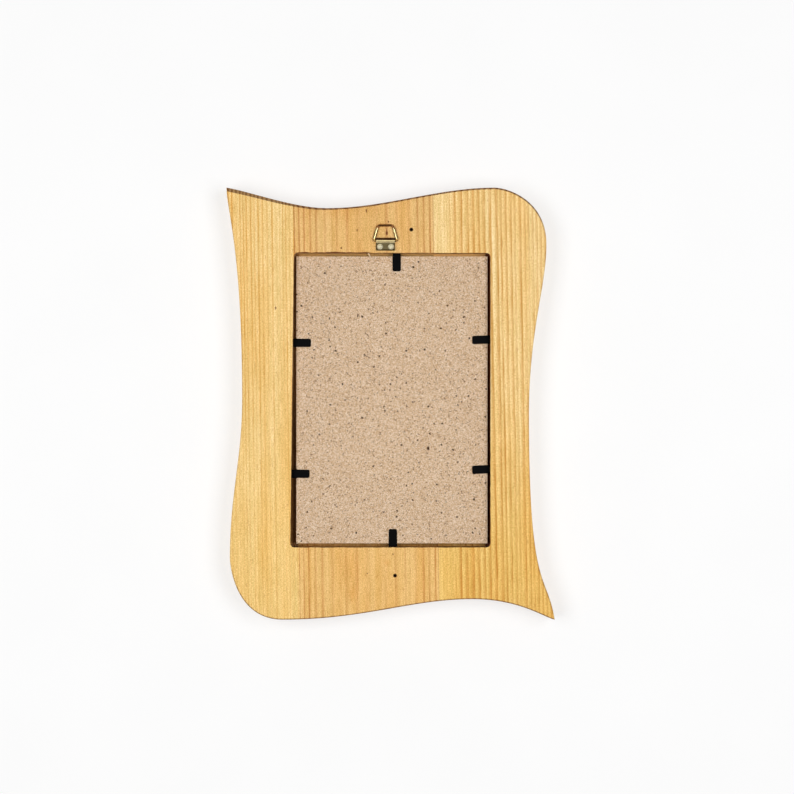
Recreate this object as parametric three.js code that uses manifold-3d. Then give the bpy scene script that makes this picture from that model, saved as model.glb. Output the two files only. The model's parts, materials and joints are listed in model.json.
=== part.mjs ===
// Wooden picture frame for a 10 x 15 cm photograph, lying face down on a table.
// Millimetres. +Z points out of the frame's back, +Y to its top edge, and the origin is on the
// front face below the middle of the outline.

import * as THREE from 'three';
import { mergeVertices } from 'three/addons/utils/BufferGeometryUtils.js';
import Module from 'manifold-3d';

// Panel: pine, edge-glued from three upright staves and sawn to a wavy outline
const PANEL_WIDTH = 171;
const PANEL_HEIGHT = 225;
const PANEL_THICKNESS = 18;
const ARRIS = 0.5;
const GLUE_LINE_LEAN = 0.9;
const LEFT_GLUE_LINE_INSET = 2.7;
const RIGHT_GLUE_LINE_X = 23.85;
const LEFT_LIP_STUB = 1;

// Outline: two pointed horns, upper left and lower right, and the low and high points between them
const TOP_DIP_X = -33.2;
const TOP_DIP_DEPTH = 10.7;
const TOP_CREST_X = 54.3;
const RIGHT_BULGE_Y = 83;
const RIGHT_BULGE_INSET = 4.3;
const RIGHT_WAIST_Y = -5.7;
const RIGHT_WAIST_INSET = 13.4;
const BOTTOM_HUMP_X = 42.7;
const BOTTOM_HUMP_RISE = 10.7;
const BOTTOM_BELLY_X = -56.3;
const LEFT_BULGE_Y = -80.3;
const LEFT_BULGE_INSET = 1.8;
const LEFT_WAIST_Y = 2.7;
const LEFT_WAIST_INSET = 8.2;
const OUTLINE_STEPS = 24;

// Rebate in the back, and the window that leaves a lip in front of the glass
const SHEET_WIDTH = 100;
const SHEET_HEIGHT = 150;
const SHEET_PLAY = 3.2;
const SHEET_SHIFT_X = 0.35;
const SHEET_SHIFT_Y = 0.15;
const REBATE_X = 0.35;
const REBATE_Y = 1.8;
const REBATE_DEPTH = 10;
const REBATE_CORNER = 2.5;
const REBATE_LEFT_LEAN = 0.66;
const LIP = 5;

// Nail holes in the back, one in each rail, where the panel was pinned down while it was cut
const NAIL_HOLE_DIAMETER = 1.3;
const NAIL_HOLE_DEPTH = 6;
const UPPER_NAIL_X = 10.8;
const UPPER_NAIL_ABOVE_REBATE = 12.2;
const LOWER_NAIL_X = 2.3;
const LOWER_NAIL_BELOW_REBATE = 14.7;

// Loose stack in the rebate
const GLASS_THICKNESS = 2;
const INSERT_THICKNESS = 0.3;
const BOARD_THICKNESS = 3;

// Flexible points: strips of black sheet steel, driven into the rebate's walls and bent by hand
const POINT_WIDTH = 3.95;
const POINT_THICKNESS = 0.5;
const POINT_REACH = 9.05;
const POINT_CORNER = 0.7;
const SHANK_LENGTH = 5.5;
const SHANK_TIP = 5;
const BEND_OFFSET = 0.55;
const TOP_POINT_X = 3.2;
const BOTTOM_POINT_X = 1.2;
const LEFT_UPPER_POINT_Y = 31.75;
const LEFT_LOWER_POINT_Y = -36.65;
const RIGHT_UPPER_POINT_Y = 33.5;
const RIGHT_UPPER_POINT_LEAN = 1.8;
const RIGHT_LOWER_POINT_Y = -34.2;
const RIGHT_LOWER_POINT_LEAN = 2.7;

// Hanger: a strap folded round a wire ring and held by two screws
const HANGER_X = -2.65;
const HANGER_ABOVE_REBATE = 6.45;
const STRAP_WIDTH = 9.8;
const STRAP_LENGTH = 5.2;
const STRAP_SHEET = 0.4;
const STRAP_FOLD_GAP = 0.1;
const WIRE_DIAMETER = 1.3;
const WIRE_PLAY = 0.25;
const RING_HEIGHT = 7.9;
const RING_BASE = 12.3;
const RING_TOP = 7.7;
const RING_BASE_BEND = 1;
const RING_TOP_BEND = 1.7;
const RING_BUTT_GAP = 0.4;
const RING_TILT = 3;
const SCREW_SPACING = 5.7;
const SCREW_DROP = 3.15;
const SCREW_HEAD_DIAMETER = 3.2;
const SCREW_HEAD_HEIGHT = 1;
const SCREW_SHANK_DIAMETER = 1.8;
const SCREW_LENGTH = 9;
const SCREW_TIP = 2;
const CROSS_LENGTH = 1.9;
const CROSS_WIDTH = 0.45;
const CROSS_DEPTH = 0.5;

// Clearance round what is driven or screwed into the wood
const GAP = 0.3;

const wasm = await Module();
wasm.setup();

function toSolid(geometry) {
  const bare = new THREE.BufferGeometry();
  bare.setAttribute('position', geometry.getAttribute('position').clone());
  if (geometry.index) {
    bare.setIndex(geometry.index.clone());
  }
  const welded = mergeVertices(bare, 1e-4);
  const index = welded.index.array;
  const corners = [];
  for (let i = 0; i < index.length; i += 3) {
    const [a, b, c] = [index[i], index[i + 1], index[i + 2]];
    if (a !== b && b !== c && c !== a) {
      corners.push(a, b, c);
    }
  }
  return new wasm.Manifold(new wasm.Mesh({
    numProp: 3,
    vertProperties: welded.attributes.position.array,
    triVerts: Uint32Array.from(corners),
  }));
}

function toGeometry(solid) {
  const { vertProperties, triVerts } = solid.getMesh();
  const geometry = new THREE.BufferGeometry();
  geometry.setAttribute('position', new THREE.BufferAttribute(vertProperties, 3));
  geometry.setIndex(new THREE.BufferAttribute(triVerts, 1));
  geometry.computeVertexNormals();
  return geometry;
}

function block(x0, x1, y0, y1, z0, z1) {
  const geometry = new THREE.BoxGeometry(x1 - x0, y1 - y0, z1 - z0);
  return geometry.translate((x0 + x1) / 2, (y0 + y1) / 2, (z0 + z1) / 2);
}

function rod(radius, z0, z1, segments) {
  const geometry = new THREE.CylinderGeometry(radius, radius, z1 - z0, segments);
  return geometry.rotateX(Math.PI / 2).translate(0, 0, (z0 + z1) / 2);
}

function named(name, geometry, material) {
  const mesh = new THREE.Mesh(geometry, material);
  mesh.name = name;
  return mesh;
}

function material(color, roughness, metalness) {
  return new THREE.MeshStandardMaterial({ color, roughness, metalness });
}

const paleWood = material(0xf0c880, 0.6, 0);
const warmWood = material(0xe4b66e, 0.6, 0);
const stripedWood = material(0xeac37f, 0.6, 0);
const hardboard = material(0xceb192, 0.85, 0);
const paper = material(0xf4f2ec, 0.9, 0);
const blackSteel = material(0x0f0d0f, 0.45, 0.6);
const bronze = material(0x8a7850, 0.35, 0.9);
const brass = material(0xd8b96a, 0.3, 1);
const nickel = material(0xddd4b8, 0.35, 0.9);
const glass = material(0xdfeceb, 0.05, 0);
glass.transparent = true;
glass.opacity = 0.3;

// Stations of the wavy outline, clockwise from the upper left horn: where the edge is, which way it
// heads there in degrees from +X, and how far its curve runs on along that heading behind and ahead.
// At a horn the edge arrives on one heading and leaves on another.
const left = -PANEL_WIDTH / 2;
const right = PANEL_WIDTH / 2;
const top = PANEL_HEIGHT / 2;
const bottom = -PANEL_HEIGHT / 2;
const stations = [
  { x: left, y: top, arrival: 91, behind: 12, heading: -8.4, ahead: 10.9 },
  { x: TOP_DIP_X, y: top - TOP_DIP_DEPTH, heading: 0, behind: 17, ahead: 30 },
  { x: TOP_CREST_X, y: top, heading: 0, behind: 30, ahead: 6 },
  { x: right - RIGHT_BULGE_INSET, y: RIGHT_BULGE_Y, heading: -90, behind: 23.5, ahead: 22.5 },
  { x: right - RIGHT_WAIST_INSET, y: RIGHT_WAIST_Y, heading: -90, behind: 44, ahead: 95 },
  { x: right, y: bottom, arrival: -81.4, behind: 25.3, heading: 173.5, ahead: 4.4 },
  { x: BOTTOM_HUMP_X, y: bottom + BOTTOM_HUMP_RISE, heading: 180, behind: 24.8, ahead: 32 },
  { x: BOTTOM_BELLY_X, y: bottom, heading: 180, behind: 43.5, ahead: 24 },
  { x: left + LEFT_BULGE_INSET, y: LEFT_BULGE_Y, heading: 90, behind: 5, ahead: 34 },
  { x: left + LEFT_WAIST_INSET, y: LEFT_WAIST_Y, heading: 90, behind: 32, ahead: 77 },
];

function panelOutline() {
  const points = [];
  stations.forEach((from, i) => {
    const to = stations[(i + 1) % stations.length];
    const leave = THREE.MathUtils.degToRad(from.heading);
    const arrive = THREE.MathUtils.degToRad(to.arrival ?? to.heading);
    const edge = new THREE.CubicBezierCurve(
      new THREE.Vector2(from.x, from.y),
      new THREE.Vector2(from.x + from.ahead * Math.cos(leave), from.y + from.ahead * Math.sin(leave)),
      new THREE.Vector2(to.x - to.behind * Math.cos(arrive), to.y - to.behind * Math.sin(arrive)),
      new THREE.Vector2(to.x, to.y),
    );
    points.push(...edge.getSpacedPoints(OUTLINE_STEPS).slice(0, -1));
  });
  return new THREE.Shape(points);
}

// A four-sided opening round a middle, with rounded corners and its left side leaning by some degrees
function openingOutline(x, y, width, height, lean) {
  const drift = height / 2 * Math.tan(THREE.MathUtils.degToRad(lean));
  const corners = [
    new THREE.Vector2(x + width / 2, y + height / 2),
    new THREE.Vector2(x - width / 2 + drift, y + height / 2),
    new THREE.Vector2(x - width / 2 - drift, y - height / 2),
    new THREE.Vector2(x + width / 2, y - height / 2),
  ];
  const points = [];
  corners.forEach((corner, i) => {
    const before = corners[(i + 3) % 4].clone().sub(corner).setLength(REBATE_CORNER).add(corner);
    const after = corners[(i + 1) % 4].clone().sub(corner).setLength(REBATE_CORNER).add(corner);
    points.push(...new THREE.QuadraticBezierCurve(before, corner, after).getPoints(6));
  });
  return new THREE.Shape(points);
}

function slab(shape, z0, z1, curveSegments) {
  const geometry = new THREE.ExtrudeGeometry(shape, { depth: z1 - z0, bevelEnabled: false, curveSegments });
  return geometry.translate(0, 0, z0);
}

const frame = new THREE.Group();
const rebateWidth = SHEET_WIDTH + SHEET_PLAY;
const rebateHeight = SHEET_HEIGHT + SHEET_PLAY;
const rebateTop = REBATE_Y + rebateHeight / 2;
const rebateBottom = REBATE_Y - rebateHeight / 2;
const lipTop = PANEL_THICKNESS - REBATE_DEPTH;
const boardBack = lipTop + GLASS_THICKNESS + INSERT_THICKNESS + BOARD_THICKNESS;

// Flexible points. Each is drawn with the wall at x = 0 and the rebate on its +x side, then turned
// to its wall. The shank lies on the floor of its saw-thin slot, and the leaf turns about the bend.
function leftWall(y) {
  return REBATE_X - rebateWidth / 2 + (y - REBATE_Y) * Math.tan(THREE.MathUtils.degToRad(REBATE_LEFT_LEAN));
}

const rightWall = REBATE_X + rebateWidth / 2;
const points = [
  { name: 'left_upper', x: leftWall(LEFT_UPPER_POINT_Y), y: LEFT_UPPER_POINT_Y, turn: 0 },
  { name: 'left_lower', x: leftWall(LEFT_LOWER_POINT_Y), y: LEFT_LOWER_POINT_Y, turn: 0 },
  { name: 'right_upper', x: rightWall, y: RIGHT_UPPER_POINT_Y, turn: 180 + RIGHT_UPPER_POINT_LEAN },
  { name: 'right_lower', x: rightWall, y: RIGHT_LOWER_POINT_Y, turn: 180 + RIGHT_LOWER_POINT_LEAN },
  { name: 'top', x: TOP_POINT_X, y: rebateTop, turn: -90 },
  { name: 'bottom', x: BOTTOM_POINT_X, y: rebateBottom, turn: 90 },
];

function shankOutline(halfWidth, length, tip) {
  const shape = new THREE.Shape();
  shape.moveTo(0, halfWidth);
  shape.lineTo(tip - length, halfWidth);
  shape.lineTo(-length, 0);
  shape.lineTo(tip - length, -halfWidth);
  shape.lineTo(0, -halfWidth);
  return shape;
}

function leafOutline() {
  const y = POINT_WIDTH / 2;
  const end = POINT_REACH - BEND_OFFSET;
  const shape = new THREE.Shape();
  shape.moveTo(0, -y);
  shape.absarc(end - POINT_CORNER, POINT_CORNER - y, POINT_CORNER, -Math.PI / 2, 0);
  shape.absarc(end - POINT_CORNER, y - POINT_CORNER, POINT_CORNER, 0, Math.PI / 2);
  shape.lineTo(0, y);
  return shape;
}

const half = POINT_THICKNESS / 2;
const shankGeometry = slab(shankOutline(POINT_WIDTH / 2, SHANK_LENGTH, SHANK_TIP), -half, half, 1);
const slotHalf = POINT_WIDTH / 2 + GAP;
const slotOutline = shankOutline(slotHalf, SHANK_LENGTH + GAP, SHANK_TIP);
const slotMouth = block(-SHANK_LENGTH / 2, 1, -slotHalf, slotHalf, -half, half + GAP);
const slot = toSolid(slab(slotOutline, -half, half + GAP, 1)).add(toSolid(slotMouth));
const bend = rod(half, -POINT_WIDTH / 2, POINT_WIDTH / 2, 12).rotateX(Math.PI / 2);
const leafGeometry = toGeometry(toSolid(slab(leafOutline(), -half, half, 8)).add(toSolid(bend)));

let slots = null;
for (const { name, x, y, turn } of points) {
  const point = new THREE.Group();
  point.position.set(x, y, boardBack + half);
  point.rotation.z = THREE.MathUtils.degToRad(turn);
  const leaf = named(`point_leaf_${name}`, leafGeometry, blackSteel);
  leaf.position.x = BEND_OFFSET;
  point.add(named(`point_shank_${name}`, shankGeometry, blackSteel), leaf);
  frame.add(point);
  point.updateMatrix();
  const placed = slot.transform(point.matrix.toArray());
  slots = slots ? slots.add(placed) : placed;
}

// Panel with its arrises eased, then the rebate, window, point slots, screw holes and nail holes
const panelGeometry = new THREE.ExtrudeGeometry(panelOutline(), {
  depth: PANEL_THICKNESS - 2 * ARRIS,
  bevelThickness: ARRIS,
  bevelSize: ARRIS,
  bevelOffset: -ARRIS,
  bevelSegments: 1,
}).translate(0, 0, ARRIS);
const rebateShape = openingOutline(REBATE_X, REBATE_Y, rebateWidth, rebateHeight, REBATE_LEFT_LEAN);
const windowWidth = rebateWidth - 2 * LIP;
const windowShape = openingOutline(REBATE_X, REBATE_Y, windowWidth, rebateHeight - 2 * LIP, 0);
let panel = toSolid(panelGeometry)
  .subtract(toSolid(slab(rebateShape, lipTop, PANEL_THICKNESS + 1, 1)))
  .subtract(toSolid(slab(windowShape, -1, lipTop + 1, 1)))
  .subtract(slots);
const screwHoleRadius = SCREW_SHANK_DIAMETER / 2 + GAP;
const hingeY = rebateTop + HANGER_ABOVE_REBATE;
const screwY = hingeY - SCREW_DROP;
for (const side of [-1, 1]) {
  const hole = rod(screwHoleRadius, PANEL_THICKNESS - SCREW_LENGTH - GAP, PANEL_THICKNESS + 1, 16);
  panel = panel.subtract(toSolid(hole.translate(HANGER_X + side * SCREW_SPACING / 2, screwY, 0)));
}
const nails = [
  [UPPER_NAIL_X, rebateTop + UPPER_NAIL_ABOVE_REBATE],
  [LOWER_NAIL_X, rebateBottom - LOWER_NAIL_BELOW_REBATE],
];
for (const [x, y] of nails) {
  const hole = rod(NAIL_HOLE_DIAMETER / 2, PANEL_THICKNESS - NAIL_HOLE_DEPTH, PANEL_THICKNESS + 1, 16);
  panel = panel.subtract(toSolid(hole.translate(x, y, 0)));
}

// The panel's three staves, parted at two glue lines that lean with the grain. The left stave keeps
// the whole left lip, and the window divides the middle one into the top and bottom rails.
function zone(outline) {
  return toSolid(slab(outline, -1, PANEL_THICKNESS + 1, 1));
}

function besideGlueLine(x, farX) {
  const drift = PANEL_HEIGHT * Math.tan(THREE.MathUtils.degToRad(GLUE_LINE_LEAN));
  return zone(new THREE.Shape([
    new THREE.Vector2(x - drift, PANEL_HEIGHT),
    new THREE.Vector2(x + drift, -PANEL_HEIGHT),
    new THREE.Vector2(farX, -PANEL_HEIGHT),
    new THREE.Vector2(farX, PANEL_HEIGHT),
  ]));
}

function between(x0, x1, y0, y1) {
  return zone(new THREE.Shape([
    new THREE.Vector2(x0, y0),
    new THREE.Vector2(x1, y0),
    new THREE.Vector2(x1, y1),
    new THREE.Vector2(x0, y1),
  ]));
}

const windowLeft = REBATE_X - windowWidth / 2;
const lipEnd = windowLeft + LEFT_LIP_STUB;
const leftLip = between(-PANEL_WIDTH, lipEnd, rebateBottom + LEFT_LIP_STUB, rebateTop - LEFT_LIP_STUB);
const leftZone = besideGlueLine(windowLeft - LEFT_GLUE_LINE_INSET, -PANEL_WIDTH).add(leftLip);
const rightZone = besideGlueLine(RIGHT_GLUE_LINE_X, PANEL_WIDTH);
const upperZone = between(-PANEL_WIDTH, PANEL_WIDTH, REBATE_Y, PANEL_HEIGHT);
const middle = panel.subtract(leftZone).subtract(rightZone);
frame.add(
  named('left_stave', toGeometry(panel.intersect(leftZone)), paleWood),
  named('top_rail', toGeometry(middle.intersect(upperZone)), warmWood),
  named('bottom_rail', toGeometry(middle.subtract(upperZone)), warmWood),
  named('right_stave', toGeometry(panel.intersect(rightZone)), stripedWood),
);

// Glass, blank sheet and backing board, lying loose on the lip one above the other
const stack = new THREE.Group();
stack.position.set(REBATE_X + SHEET_SHIFT_X, REBATE_Y + SHEET_SHIFT_Y, lipTop);
const sheetTop = GLASS_THICKNESS + INSERT_THICKNESS;
function sheet(name, z0, z1, look) {
  const x = SHEET_WIDTH / 2;
  const y = SHEET_HEIGHT / 2;
  return named(name, block(-x, x, -y, y, z0, z1), look);
}
stack.add(
  sheet('glass_pane', 0, GLASS_THICKNESS, glass),
  sheet('picture_insert', GLASS_THICKNESS, sheetTop, paper),
  sheet('backing_board', sheetTop, sheetTop + BOARD_THICKNESS, hardboard),
);
frame.add(stack);

// Hanger strap: a strip of sheet folded double, its fold rolled into a knuckle round the ring's base.
// A hairline gap parts the two layers from the strap's end to the knuckle.
const hanger = new THREE.Group();
hanger.position.set(HANGER_X, hingeY, PANEL_THICKNESS);
const boreRadius = WIRE_DIAMETER / 2 + WIRE_PLAY;
const knuckleRadius = boreRadius + STRAP_SHEET;
const foldRoof = STRAP_SHEET + STRAP_FOLD_GAP;
const strapTop = foldRoof + STRAP_SHEET;

function strapProfile() {
  const shape = new THREE.Shape();
  shape.moveTo(-STRAP_LENGTH, 0);
  shape.absarc(0, knuckleRadius, knuckleRadius, -Math.PI / 2, Math.PI);
  shape.lineTo(-knuckleRadius, strapTop);
  shape.lineTo(-STRAP_LENGTH, strapTop);
  shape.lineTo(-STRAP_LENGTH, foldRoof);
  const mouth = Math.PI + Math.asin((knuckleRadius - foldRoof) / boreRadius);
  shape.absarc(0, knuckleRadius, boreRadius, mouth, -Math.PI / 2, true);
  shape.lineTo(-STRAP_LENGTH, STRAP_SHEET);
  return shape;
}

const acrossX = new THREE.Matrix4().makeBasis(
  new THREE.Vector3(0, 1, 0),
  new THREE.Vector3(0, 0, 1),
  new THREE.Vector3(1, 0, 0),
);
const strapBlank = slab(strapProfile(), -STRAP_WIDTH / 2, STRAP_WIDTH / 2, 12).applyMatrix4(acrossX);
let strap = toSolid(strapBlank);

// Screws with a low domed head and a cross recess
function screwProfile() {
  const r = SCREW_SHANK_DIAMETER / 2;
  const head = SCREW_HEAD_DIAMETER / 2;
  const profile = [
    new THREE.Vector2(0, -SCREW_LENGTH),
    new THREE.Vector2(r, SCREW_TIP - SCREW_LENGTH),
    new THREE.Vector2(r, 0),
    new THREE.Vector2(head, 0),
  ];
  for (const degrees of [0, 20, 45, 70, 90]) {
    const angle = THREE.MathUtils.degToRad(degrees);
    const low = SCREW_HEAD_HEIGHT / 4;
    const dome = (SCREW_HEAD_HEIGHT - low) * Math.sin(angle);
    profile.push(new THREE.Vector2(head * Math.cos(angle), low + dome));
  }
  profile[profile.length - 1].x = 0;
  return profile;
}

const screwBlank = new THREE.LatheGeometry(screwProfile(), 32).rotateX(Math.PI / 2);
const floor = SCREW_HEAD_HEIGHT - CROSS_DEPTH;
const arm = CROSS_LENGTH / 2;
const flank = CROSS_WIDTH / 2;
const screwGeometry = toGeometry(toSolid(screwBlank)
  .subtract(toSolid(block(-arm, arm, -flank, flank, floor, SCREW_HEAD_HEIGHT + 1)))
  .subtract(toSolid(block(-flank, flank, -arm, arm, floor, SCREW_HEAD_HEIGHT + 1))));

for (const [name, side] of [['left', -1], ['right', 1]]) {
  const x = side * SCREW_SPACING / 2;
  strap = strap.subtract(toSolid(rod(screwHoleRadius, -1, strapTop + 1, 16).translate(x, -SCREW_DROP, 0)));
  const screw = named(`hanger_screw_${name}`, screwGeometry, nickel);
  screw.position.set(x, -SCREW_DROP, strapTop);
  hanger.add(screw);
}
hanger.add(named('hanger_strap', toGeometry(strap), bronze));

// Ring: one length of wire bent to a trapezoid, its two ends butted inside the knuckle
function bentWire(corners, bends) {
  const path = new THREE.CurvePath();
  let last = corners[0];
  for (let i = 1; i < corners.length - 1; i += 1) {
    const before = corners[i - 1].clone().sub(corners[i]).normalize();
    const after = corners[i + 1].clone().sub(corners[i]).normalize();
    const setback = bends[i - 1] / Math.tan(before.angleTo(after) / 2);
    const start = corners[i].clone().addScaledVector(before, setback);
    const end = corners[i].clone().addScaledVector(after, setback);
    path.add(new THREE.LineCurve3(last, start));
    path.add(new THREE.QuadraticBezierCurve3(start, corners[i], end));
    last = end;
  }
  path.add(new THREE.LineCurve3(last, corners[corners.length - 1]));
  return path;
}

const ringCorners = [
  new THREE.Vector3(RING_BUTT_GAP / 2, 0, 0),
  new THREE.Vector3(RING_BASE / 2, 0, 0),
  new THREE.Vector3(RING_TOP / 2, RING_HEIGHT, 0),
  new THREE.Vector3(-RING_TOP / 2, RING_HEIGHT, 0),
  new THREE.Vector3(-RING_BASE / 2, 0, 0),
  new THREE.Vector3(-RING_BUTT_GAP / 2, 0, 0),
];
const ringBends = [RING_BASE_BEND, RING_TOP_BEND, RING_TOP_BEND, RING_BASE_BEND];
const wireSection = new THREE.Shape();
wireSection.absarc(0, 0, WIRE_DIAMETER / 2, 0, 2 * Math.PI);
const ringGeometry = new THREE.ExtrudeGeometry(wireSection, {
  steps: 72,
  curveSegments: 6,
  extrudePath: bentWire(ringCorners, ringBends),
});
const ring = named('hanger_ring', ringGeometry, brass);
ring.position.z = knuckleRadius;
ring.rotation.x = THREE.MathUtils.degToRad(-RING_TILT);
hanger.add(ring);
frame.add(hanger);

export default frame;
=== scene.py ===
import json
import math

import bmesh
import bpy
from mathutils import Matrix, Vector, noise


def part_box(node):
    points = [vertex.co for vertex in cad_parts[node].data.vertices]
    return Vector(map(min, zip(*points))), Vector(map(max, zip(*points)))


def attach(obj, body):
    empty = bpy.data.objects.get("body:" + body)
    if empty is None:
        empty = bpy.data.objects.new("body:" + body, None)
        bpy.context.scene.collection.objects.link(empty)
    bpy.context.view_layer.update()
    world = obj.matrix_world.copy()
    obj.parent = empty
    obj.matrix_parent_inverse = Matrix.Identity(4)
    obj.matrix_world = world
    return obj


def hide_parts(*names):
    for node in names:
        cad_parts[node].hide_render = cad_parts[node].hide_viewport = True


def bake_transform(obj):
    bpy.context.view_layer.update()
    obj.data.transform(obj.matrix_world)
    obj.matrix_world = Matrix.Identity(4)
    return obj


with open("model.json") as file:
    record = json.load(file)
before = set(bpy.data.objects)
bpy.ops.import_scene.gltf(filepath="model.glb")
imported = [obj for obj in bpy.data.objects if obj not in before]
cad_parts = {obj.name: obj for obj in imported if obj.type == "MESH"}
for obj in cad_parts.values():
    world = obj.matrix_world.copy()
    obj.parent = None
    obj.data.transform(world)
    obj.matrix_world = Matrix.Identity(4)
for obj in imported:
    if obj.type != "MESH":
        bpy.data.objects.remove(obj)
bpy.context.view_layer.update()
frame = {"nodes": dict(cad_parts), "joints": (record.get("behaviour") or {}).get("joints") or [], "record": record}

# The panel is three upright pine boards, glued edge to edge and sawn to one wavy outline with two horns.
# A rebate is routed into the back for the glass, the window is cut through with a lip left in front, and
# the edges are eased with sandpaper. The outer boards show straight rings, the middle one is flat-sawn.
MM = 0.001
SAME_HEIGHT = 0.01 * MM
MERGE_DISTANCE = 0.001 * MM
FLAT_WITHIN = math.radians(0.3)
SHARP_FROM = math.radians(40)
ARRIS_FROM = math.radians(15)
UPRIGHT_BELOW = 0.1
LEVEL_FROM = 0.999
panel_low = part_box("left_stave")[0]
back_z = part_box("left_stave")[1].z
lip_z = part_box("glass_pane")[0].z
rebate_low, rebate_high = [
    Vector(corner) for corner in frame["record"]["physics"]["openings"][0]["box_m"]
]
rebate_middle = (rebate_low + rebate_high) / 2
OPENING_CLEARANCE = 0.5 * MM
rebate_top = rebate_high.y + OPENING_CLEARANCE
board_low, board_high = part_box("backing_board")
REBATE_MARGIN = 3.0 * MM
RIM_STEP = 2.2 * MM
RIM_WOBBLE = 0.16 * MM
RIM_WOBBLE_SCALE = 350
ROUNDED_ARRIS = 0.14 * MM
ROUNDED_RIM = 0.08 * MM
HORN_FACET = 1.15 * MM
HORN_FACET_END_X = -30 * MM
TOP_FACET = 0.25 * MM
FACET_WIDTH = 1.1 * MM
# How dark the sandpapered edges are: grime in the end grain, and painted shade that is deepest along the top.
FACET_GRIME_AND_SHADE = 0.9
TOP_EDGE_GRIME_AND_SHADE = 0.96
BOTTOM_EDGE_GRIME_AND_SHADE = 0.64
SIDE_EDGE_GRIME_AND_SHADE = 0.08
GRIME_AND_SHADE_STARTS_AT = 0.1
GRIME_AND_SHADE_FULL_AT = 0.5
# The grain's lean is sideways run for each unit of height. From here on, places on the wood and sizes of
# its figure are in millimetres, as the shaders count them.
LEFT_LEAN = 0.0131
MIDDLE_LEAN = 0.0157
RIGHT_LEAN = 0.0183
LEFT_LINES = (
    -87.7, -85.6, -83.5, -81.4, -79.3, -77.2, -75.7, -74.1, -71.7, -69.95, -67.95, -65.7, -63.4, -60.7,
    -58.45, -57.0, -55.3, -53.7, -51.75, -49.6, -47.5,
)
LEFT_LINES_SHIFT = 0.26
LEFT_FAINT_YEAR = -57.45
LEFT_MILD_YEAR = -60.45
RIGHT_LINES = (
    22.0, 24.1, 25.9, 27.8, 29.5, 30.8, 32.2, 35.1, 38.3, 41.7, 44.7, 47.5, 50.4, 53.5, 57.1, 59.0, 61.6,
    64.2, 66.1, 69.0, 71.4, 73.2, 75.4, 77.5, 79.6, 81.8, 84.0, 86.1, 88.2,
)
RIGHT_LINES_SHIFT = 0.46
RIGHT_DARK_YEAR = 50.0
PITH_X = -10.85
PITH_DEPTH = 28.0
PITH_WANDER = 2.2
MIDDLE_RADII = (26.4, 28.3, 29.6, 32.0, 33.2, 35.3, 38.35, 40.6, 43.1, 45.1, 47.1, 49.2)
MIDDLE_RADII_SHIFT = 0.15
RING_SWAY = 0.5
RING_QUIVER = 0.45
LEFT_GLUE_LINE = -48.95
RIGHT_GLUE_LINE = 23.85
NAIL_RADIUS = 0.95
TORN_UP_TO_X = -9.0
PINE_WARMTH = (1.0, 1.25, 2.5)
FLAME_CONTRAST = 0.03
STREAK_CONTRAST = 0.05
FIBRE_CONTRAST = 0.1
FLECK_CONTRAST = 0.15
PINE_GLOSS = 0.22


def srgb(red, green, blue):
    """A colour as it looks on a screen, 0 to 255, turned into the linear light that a shader takes."""
    linear = []
    for value in (red / 255, green / 255, blue / 255):
        linear.append(value / 12.92 if value <= 0.04045 else ((value + 0.055) / 1.055) ** 2.4)
    return (*linear, 1.0)


UNTINTED = srgb(255, 255, 255)
WARM_TONE = srgb(252, 240, 218)
STAINED_PATCH = srgb(240, 220, 182)
GLUE = srgb(170, 112, 58)
RESIN = srgb(176, 110, 44)
PITCH = srgb(104, 44, 0)
# The nail holes are not cut in the mesh: their dark is rust and painted shade of the hole.
NAIL_HOLE_SHADE_AND_RUST = srgb(30, 4, 0)
SOAKED_END = srgb(180, 140, 94)
# Painted light on the routed walls at the top, and a darker colour for them towards the bottom.
PAINTED_LIGHT_WALL = srgb(255, 204, 128)
LOWER_WALL_DARKER = srgb(150, 104, 66)
# Router burn on the rebate's side walls, which also paints the shade of the narrow side gaps.
BURNT_AND_SHADED_WALL = srgb(110, 40, 10)
SCORCHED_RIM = srgb(96, 52, 20)
TORN_RIM = srgb(98, 46, 6)
# The colour of the sandpapered edges: grime with painted shade, darker over the late wood.
EDGE_GRIME_AND_SHADE = srgb(142, 104, 66)
LATE_WOOD_GRIME_AND_SHADE = srgb(88, 48, 22)


def put(tree, kind, sockets, **options):
    """One shader node with its options set and its inputs filled in or linked."""
    node = tree.nodes.new("ShaderNode" + kind)
    for option, value in options.items():
        setattr(node, option, value)
    for socket, value in sockets.items():
        if isinstance(value, bpy.types.NodeSocket):
            tree.links.new(value, node.inputs[socket])
        else:
            node.inputs[socket].default_value = value
    return node


def work_out(tree, operation, first, second=0.0):
    return put(tree, "Math", {0: first, 1: second}, operation=operation).outputs[0]


def plus(tree, first, second):
    return work_out(tree, "ADD", first, second)


def minus(tree, first, second):
    return work_out(tree, "SUBTRACT", first, second)


def times(tree, first, second):
    return work_out(tree, "MULTIPLY", first, second)


def ease(tree, value, low, high, start=0.0, end=1.0):
    """A value between low and high, eased into the span from start to end and held outside it."""
    sockets = {0: value, 1: low, 2: high, 3: start, 4: end}
    return put(tree, "MapRange", sockets, interpolation_type="SMOOTHSTEP").outputs[0]


def stain(tree, amount, under, over, how="MIX"):
    """One colour laid over another."""
    return put(tree, "Mix", {0: amount, 6: under, 7: over}, data_type="RGBA", blend_type=how).outputs[2]


def vary(tree, colour, value, low, high, amount, warmth):
    """A colour made darker and warmer where a value is low, and lighter and paler where it is high."""
    dark = [(1 - amount) ** power for power in warmth]
    light = [(1 + amount) ** power for power in warmth]
    tint = stain(tree, ease(tree, value, low, high), (*dark, 1.0), (*light, 1.0))
    return stain(tree, 1.0, colour, tint, "MULTIPLY")


def millimetres(tree):
    """Place on the piece in millimetres."""
    place = put(tree, "TexCoord", {}).outputs["Object"]
    return put(tree, "VectorMath", {0: place, "Scale": 1 / MM}, operation="SCALE").outputs[0]


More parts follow.
